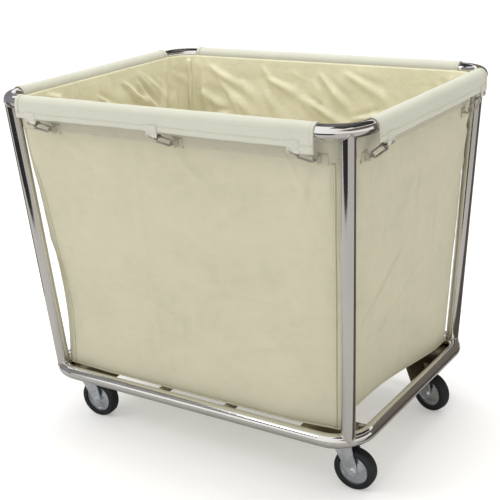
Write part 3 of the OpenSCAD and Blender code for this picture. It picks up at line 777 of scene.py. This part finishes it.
def make_flap(name, surface):
    """The flap, its hem and its turned ends."""
    rows, cols = surface.points.shape[:2]
    length = np.linalg.norm(np.diff(surface.points[0], axis=0), axis=1).sum()
    u = np.linspace(0, length, cols)
    down = np.linalg.norm(np.diff(surface.points[:, cols // 2], axis=0), axis=1)
    v = np.concatenate([[0], np.cumsum(down)])
    uv = np.stack(np.meshgrid(u, -v), -1).reshape(-1, 2)
    points = surface.points.reshape(-1, 3)
    piece = make_mesh("canvas_flap_" + name, points, grid_faces(rows, cols), flap_canvas, uv)
    solidify(piece, FLAP_CLOTH, 1)
    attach(piece, "frame")
    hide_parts("flap_" + name)
    hem_row = row_above_edge(rows, HEM)
    row, col = np.meshgrid(np.linspace(hem_row, rows - 0.96, 5), np.arange(cols, dtype=float), indexing="ij")
    hem = laid_strip("flap_hem_" + name, surface, row, col, FLAP_CLOTH - 0.2 * MM, 0.6 * MM, flap_canvas)
    end = TURNED_END / (length / (cols - 1))
    for label, start in (("a", 0.0), ("b", cols - 1 - end)):
        across = np.linspace(start, start + end, 4)
        row, col = np.meshgrid(np.linspace(0.3, hem_row, 34), across, indexing="ij")
        turned = laid_strip(f"flap_end_{name}_{label}", surface, row, col, FLAP_CLOTH, 0.7 * MM, flap_canvas)


# ---------- webbing, stitches and welds ----------


def webbing_block(name, low, high, thin, round_end):
    """A folded strip of webbing that fills a box.

    thin is the axis across its thickness. round_end is the axis along it, counted from 1 and signed, and the
    end that way is folded round.
    """
    size, middle = high - low, (low + high) / 2
    along = abs(round_end) - 1
    wide = 3 - thin - along
    half_thick, half_wide, half_long = size[thin] / 2, size[wide] / 2, size[along] / 2
    sign = 1 if round_end > 0 else -1
    section = []
    for t in np.linspace(-1, 1 - half_thick / half_long, 12):
        section.append((half_long * t, half_thick))
    for angle in np.linspace(math.pi / 2, -math.pi / 2, 9)[1:-1]:
        section.append((half_long - half_thick + half_thick * math.cos(angle), half_thick * math.sin(angle)))
    for t in np.linspace(1 - half_thick / half_long, -1, 12):
        section.append((half_long * t, -half_thick))
    across = np.array([-1, -0.985, -0.94, -0.5, 0, 0.5, 0.94, 0.985, 1]) * half_wide
    squeeze = np.array([0.45, 0.8, 1, 1, 1, 1, 1, 0.8, 0.45])
    points, uv = [], []
    run = np.concatenate([[0], np.cumsum([math.dist(a, b) for a, b in zip(section, section[1:])])])
    for w, thin_share in zip(across, squeeze):
        for (l, t), r in zip(section, run):
            place = Vector((0, 0, 0))
            place[along], place[thin], place[wide] = sign * l, t * thin_share, w
            points.append(middle + place)
            uv.append((w, r))
    count = len(section)
    faces = grid_faces(len(across), count, closed=True).tolist()
    faces += [list(range(count)), list(range((len(across) - 1) * count, len(across) * count))[::-1]]
    piece = make_mesh(name, points, faces, webbing, uv)
    fix_normals(piece)
    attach(piece, "frame")
    return piece


def fix_normals(piece):
    """Turns every face of a closed mesh outwards."""
    work = bmesh.new()
    work.from_mesh(piece.data)
    bmesh.ops.recalc_face_normals(work, faces=work.faces)
    work.to_mesh(piece.data)
    work.free()


STITCH_R = 0.32 * MM
STITCH_SIDES = 5
# Along a stitch: share of its length, lift and thickness. Its ends dip into the cloth
STITCH_SHAPE = ((-0.5, -0.6, 0.5), (-0.3, 0.25, 1), (0.3, 0.25, 1), (0.5, -0.6, 0.5))


def on_line(run, values, distance):
    """The value at a distance along a line, whose points lie at run and have three numbers each."""
    return np.array([np.interp(distance, run, values[:, k]) for k in range(3)])


class Stitching:
    """Rows of short raised threads, gathered into one mesh."""

    def __init__(self):
        self.points, self.faces, self.uv = [], [], []

    def row(self, places, normals, pitch=5 * MM, length=3.7 * MM):
        """Stitches along a line of places on a surface."""
        gaps = np.linalg.norm(np.diff(places, axis=0), axis=1)
        run = np.concatenate([[0], np.cumsum(gaps)])
        for middle in np.arange(pitch / 2, run[-1], pitch):
            centre, out = on_line(run, places, middle), on_line(run, normals, middle)
            ahead = on_line(run, places, min(middle + length / 2, run[-1]))
            ahead = ahead - on_line(run, places, max(middle - length / 2, 0))
            ahead /= max(np.linalg.norm(ahead), 1e-9)
            side = np.cross(ahead, out)
            start = len(self.points)
            for share, lift, thick in STITCH_SHAPE:
                for k in range(STITCH_SIDES):
                    angle = 2 * math.pi * k / STITCH_SIDES
                    ring = out * math.cos(angle) + side * math.sin(angle)
                    place = centre + ahead * share * length + (out * lift + ring * thick) * STITCH_R
                    self.points.append(place)
                    self.uv.append((share * length, k * STITCH_R))
            last = len(self.points) - STITCH_SIDES
            for a in range(start, last, STITCH_SIDES):
                b = a + STITCH_SIDES
                for k in range(STITCH_SIDES):
                    after = (k + 1) % STITCH_SIDES
                    self.faces.append([a + k, a + after, b + after, b + k])
            self.faces.append([start + k for k in range(STITCH_SIDES)][::-1])
            self.faces.append([last + k for k in range(STITCH_SIDES)])

    def on(self, surface, row, col, lift):
        """Stitches along fractional rows and columns of a surface."""
        self.row(*surface.at(np.asarray(row, float), np.asarray(col, float), lift))

    def finish(self, name):
        """Makes the one mesh of all the rows so far."""
        piece = make_mesh(name, self.points, self.faces, thread, self.uv)
        fix_normals(piece)
        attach(piece, "frame")


def make_stitching():
    """The rows of thread on the bag's band and seams, and on the flaps' hems and ends."""
    sewn = Stitching()
    round_cols = np.arange(COLS + 1, dtype=float)
    for back in (3 * MM, 9 * MM):
        sewn.on(bag, np.full(COLS + 1, (BAND_DEPTH - back) / ROW_STEP), round_cols, 1.2 * MM)
    rows = np.linspace(BAND_DEPTH / ROW_STEP + 0.6, WALL_ROWS - 1.6, 200)
    for corner, way in LONG_SEAMS:
        for aside in (-2.2 * MM, 2.2 * MM):
            cols = seam_cols(rows, corner, way, SEAM_ASIDE + aside)
            sewn.on(bag, rows, cols, 1.1 * MM)
            sewn.on(bag, rows, cols, -CLOTH - 1.1 * MM)
    sewn.finish("bag_stitching")

    sewn = Stitching()
    for surface in FLAPS.values():
        count, cols = surface.points.shape[:2]
        row = row_above_edge(count, HEM - 2.5 * MM)
        line = np.linspace(0.5, cols - 1.5, cols)
        sewn.on(surface, np.full(cols, row), line, FLAP_CLOTH + 0.4 * MM)
        down = np.linspace(1, row, 60)
        for col in (1.3, cols - 2.3):
            sewn.on(surface, down, np.full(60, col), FLAP_CLOTH + 0.75 * MM)
    sewn.finish("flap_stitching")


def make_webbing():
    """The tabs that hold the hooks' eyes, and the tapes that hold the D-rings."""
    sewn = Stitching()
    first = None
    for number, (low, high) in enumerate(solids_of("webbing_tabs")):
        size = high - low
        middle = (low + high) / 2
        along_x = abs(abs(middle.y) - TOP_SIDE[1]) < abs(abs(middle.x) - TOP_SIDE[0])
        outward = 1 if along_x else 0
        sign = 1 if middle[outward] > 0 else -1
        if size.z > 20 * MM:
            piece = webbing_block(f"hook_tab_{number + 1}", low, high, outward, -3)
            face = (high if sign > 0 else low)[outward] + sign * 0.1 * MM
            sew_tab(sewn, low, high, outward, face, sign)
        else:
            thin = 2 if size.z < 5 * MM else 1 - outward
            piece = webbing_block(f"ring_tape_{number + 1}", low, high, thin, sign * (outward + 1))
            piece.data.materials[0] = tape
            patch_under(number, middle, sewn)
        first = first or piece
    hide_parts("webbing_tabs")
    sewn.finish("tab_stitching")


PATCH_HALF = 12 * MM


def patch_under(number, middle, sewn):
    """A square of webbing on the bag, under a D-ring's tape."""
    place = np.argmin(np.linalg.norm(mouth_line - np.array([middle.x, middle.y]), axis=1))
    row = (MOUTH_Z - middle.z) / (MOUTH_Z - FOOT_Z) * (WALL_ROWS - 1)
    across = PATCH_HALF / steps_round[place]
    down = PATCH_HALF / ROW_STEP
    shares = np.linspace(-1, 1, 9)
    rows, cols = np.meshgrid(row + down * shares, place + across * shares, indexing="ij")
    patch = laid_strip(f"ring_patch_{number + 1}", bag, rows, cols, 1.1 * MM, 0.9 * MM, tape)
    inset = 0.8
    t = np.linspace(0, 1, 8)
    turns = [(-1, -1), (-1, 1), (1, 1), (1, -1), (-1, -1)]
    for (r0, c0), (r1, c1) in zip(turns, turns[1:]):
        line_rows = row + down * inset * (r0 + (r1 - r0) * t)
        line_cols = place + across * inset * (c0 + (c1 - c0) * t)
        sewn.on(bag, line_rows, line_cols, 2.2 * MM)


def sew_tab(sewn, low, high, outward, face, sign):
    """A crossed box of stitches in the upper part of a tab."""
    wide = 1 - outward
    left, right = low[wide] + 3 * MM, high[wide] - 3 * MM
    top, bottom = high.z - 3 * MM, low.z + 9 * MM
    path = [(left, top), (right, top), (right, bottom), (left, bottom)]
    path += [(left, top), (right, bottom), (left, bottom), (right, top)]
    normal = np.zeros(3)
    normal[outward] = sign
    t = np.linspace(0, 1, 12)
    for (a, az), (b, bz) in zip(path, path[1:]):
        line = np.zeros((12, 3))
        line[:, wide] = a + (b - a) * t
        line[:, 2] = az + (bz - az) * t
        line[:, outward] = face
        sewn.row(line, np.broadcast_to(normal, (12, 3)), pitch=3.2 * MM, length=2.4 * MM)


def weld_bead(name, line, normals, radius):
    """A welded bead with the ripples of its pool."""
    run = np.cumsum(np.linalg.norm(np.roll(line, -1, 0) - line, axis=1))
    ripple = 1 + 0.16 * np.abs(np.sin(run / (2.4 * MM) * math.pi))
    points, faces = swept(line, normals, radius * ripple)
    piece = make_mesh(name, points, faces, weld_steel)
    fix_normals(piece)
    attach(piece, "frame")


def joint_line(foot, axis, radius, to_ring, reach):
    """Where a tube meets the ring: round the tube, the furthest point along axis that touches the ring."""
    axis = axis / np.linalg.norm(axis)
    first = np.cross(axis, [0.31, 0.95, 0.02])
    first /= np.linalg.norm(first)
    second = np.cross(axis, first)
    line, normals = [], []
    for angle in np.linspace(0, 2 * math.pi, 97)[:-1]:
        out = first * math.cos(angle) + second * math.sin(angle)
        steps = np.linspace(0, reach, 400)
        places = foot + out * radius + axis * steps[:, None]
        touching = to_ring(places) <= TUBE_R + 0.25 * MM
        last = steps[touching].max() if touching.any() else 0.0
        line.append(foot + out * radius + axis * last)
        normals.append(out)
    line = np.array(line)
    for _ in range(3):
        line = (np.roll(line, 1, 0) + 2 * line + np.roll(line, -1, 0)) / 4
    return line, np.array(normals)


def ring_distance(places, corner_sign, side, height):
    """Distance of places from a ring's centreline, at one of its rounded corners."""
    centre = corner_sign * (side - RING_CORNER)
    gap = np.hypot(*(places[:, :2] - centre).T) - RING_CORNER
    return np.hypot(gap, places[:, 2] - height)


def make_welds():
    """Beads where the posts meet both rings and where the crossbars meet the bottom ring."""
    arc_in = RING_CORNER * (1 - math.cos(math.pi / 4))
    for corner in CORNERS:
        sx = 1 if "right" in corner else -1
        sy = 1 if "back" in corner else -1
        sign = np.array([sx, sy])
        top = np.array([*(sign * (TOP_SIDE - arc_in)), TOP_Z])
        foot = np.array([*(sign * (BASE_SIDE - arc_in)), BASE_Z])
        for end, start, towards, side in (
            ("foot", foot, top - foot, BASE_SIDE),
            ("head", top, foot - top, TOP_SIDE),
        ):
            line, normals = joint_line(
                start, towards, TUBE_R, lambda p: ring_distance(p, sign, side, start[2]), 0.04
            )
            weld_bead(f"weld_{end}_{corner}", line, normals, 1.7 * MM)
    bar_r = (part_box("crossbar_left")[1].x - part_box("crossbar_left")[0].x) / 2
    for side, sx in (("left", -1), ("right", 1)):
        for end, sy in (("front", -1), ("back", 1)):
            foot = np.array([sx * BAR_X, sy * BASE_SIDE[1], BASE_Z])
            inwards = np.array([0.0, -sy, 0.0])
            line, normals = joint_line(
                foot, inwards, bar_r, lambda p: np.hypot(p[:, 1] - foot[1], p[:, 2] - BASE_Z), 0.03
            )
            weld_bead(f"weld_bar_{end}_{side}", line, normals, 1.3 * MM)


make_bag()
make_band()
make_wall_seams()
make_foot_welt()
for flap_name, flap in FLAPS.items():
    make_flap(flap_name, flap)
make_webbing()
make_stitching()
make_welds()


# ---------- floor, light and camera ----------


def plain(name, colour, roughness=0.9, glow=0.0):
    n = Nodes(name)
    grain = n.noise(n.object_place(), 3.0, 2.0)
    n.join(n.ramp(grain, [(0.3, shade(colour, 0.985)), (0.7, colour)]), n.shader.inputs["Base Color"])
    n.set(Roughness=roughness, Specular_IOR_Level=0.1, Emission_Strength=glow)
    return n.material


def mirrored(name, corners, height, colour):
    """A flat four-sided patch that only shows in reflections. corners are x, y pairs, anticlockwise."""
    points = [(x, y, height) for x, y in corners]
    sheet = make_mesh(name, points, [(0, 1, 2, 3)], plain(name, colour))
    sheet.visible_camera = False
    sheet.visible_diffuse = False
    sheet.visible_shadow = False
    sheet.visible_transmission = False
    return sheet


def make_floor():
    half = 40
    corners = [(-half, -half, 0), (half, -half, 0), (half, half, 0), (-half, half, 0)]
    ground = plain("studio_floor", (0.8, 0.8, 0.8), glow=0.25)
    make_mesh("studio_floor", corners, [(0, 1, 2, 3)], ground)


def box_corners(x0, y0, x1, y1):
    """The corners of an upright rectangle, anticlockwise."""
    return [(x0, y0), (x1, y0), (x1, y1), (x0, y1)]


def make_reflections():
    """What the polished tubes mirror: a grey floor, a dark room in front, dark strips and a ceiling."""
    near_x, near_y = ring_high.x, ring_low.y
    room = [(-8, -7.5), (near_x + 3.4, -7.5), (near_x + 0.55, -1.72), (-2.2, -1.72)]
    beside = [(near_x + 0.12, near_y + 0.06), (8, 3.4), (3, 8), (near_x + 0.06, near_y + 1.2)]
    mirrored("mirrored_floor", box_corners(-9, -9, 9, 9), 2 * MM, (0.42, 0.41, 0.40))
    mirrored("mirrored_room", room, 3 * MM, (0.012, 0.012, 0.014))
    mirrored("mirrored_right", beside, 3 * MM, (0.07, 0.06, 0.05))
    mirrored("mirrored_left", [(-8, 1.5), (-1.2, 0.2), (-1.2, -0.5), (-8, -2.5)], 3 * MM, (0.1, 0.09, 0.08))
    back = mirrored("mirrored_back", box_corners(-2, 0, 6, 3.2), 0, (0.13, 0.115, 0.1))
    back.location.y = 3.6
    back.rotation_euler.x = math.radians(90)
    side = mirrored("mirrored_side", box_corners(-5, 0, 4, 3.4), 0, (0.22, 0.21, 0.24))
    side.location.x = -4.2
    side.rotation_euler = (math.radians(90), 0, math.radians(90))
    mirrored("mirrored_corner", box_corners(-6, -5.5, -1.75, -0.6), 3.0, (0.15, 0.145, 0.14))
    mirrored("mirrored_beam", box_corners(0.5, -1.6, 2.0, -0.6), 3.0, (0.03, 0.03, 0.03))
    mirrored("mirrored_high", box_corners(2.6, -4.5, 8, 3), 2.7, (0.10, 0.095, 0.09))
    mirrored("mirrored_ceiling", box_corners(-2.5, -0.6, 2.5, 2.6), 3.0, (0.03, 0.03, 0.03))


def make_world():
    """A bright studio that is a little darker and warmer towards +X."""
    world = bpy.data.worlds.new("studio")
    bpy.context.scene.world = world
    world.use_nodes = True
    tree = world.node_tree
    background = tree.nodes["Background"]
    place = tree.nodes.new("ShaderNodeTexCoord")
    parts = tree.nodes.new("ShaderNodeSeparateXYZ")
    across = tree.nodes.new("ShaderNodeMapRange")
    across.inputs["From Min"].default_value = -1
    ramp = tree.nodes.new("ShaderNodeValToRGB")
    ramp.color_ramp.elements[0].color = (1, 1, 1, 1)
    ramp.color_ramp.elements[1].color = (0.80, 0.775, 0.735, 1)
    tree.links.new(place.outputs["Generated"], parts.inputs[0])
    tree.links.new(parts.outputs["X"], across.inputs["Value"])
    tree.links.new(across.outputs["Result"], ramp.inputs["Fac"])
    tree.links.new(ramp.outputs["Color"], background.inputs["Color"])
    background.inputs["Strength"].default_value = 1.12


def make_lamps():
    for name, place, power in (("key", (-3.0, -3.2, 3.9), 58), ("top", (0.0, 0.4, 3.4), 45)):
        light = bpy.data.lights.new(name, "AREA")
        light.size = 1.6
        light.energy = power
        lamp = bpy.data.objects.new(name, light)
        lamp.location = place
        lamp.rotation_euler = (LAMPS_AIM - Vector(place)).to_track_quat("-Z", "Y").to_euler()
        bpy.context.scene.collection.objects.link(lamp)


LAMPS_AIM = Vector((0, 0, 0.4))
YAW, PITCH, ROLL = math.radians(33.40), math.radians(19.33), math.radians(-2.638)
CAMERA_PLACE = (1.36585, -2.09318, 1.31252)
LENS = 76.275


def make_camera():
    ahead = Vector((-math.sin(YAW) * math.cos(PITCH), math.cos(YAW) * math.cos(PITCH), -math.sin(PITCH)))
    right = Vector((math.cos(YAW), math.sin(YAW), 0))
    up = right.cross(ahead)
    across = right * math.cos(ROLL) + up * math.sin(ROLL)
    upright = up * math.cos(ROLL) - right * math.sin(ROLL)
    data = bpy.data.cameras.new("camera")
    data.sensor_width = 36
    data.lens = LENS
    camera = bpy.data.objects.new("camera", data)
    turned = Matrix((across, upright, -ahead)).transposed().to_4x4()
    camera.matrix_world = Matrix.Translation(CAMERA_PLACE) @ turned
    bpy.context.scene.collection.objects.link(camera)
    bpy.context.scene.camera = camera


make_floor()
make_reflections()
make_world()
make_lamps()
bpy.context.scene.view_settings.view_transform = "Standard"
make_camera()
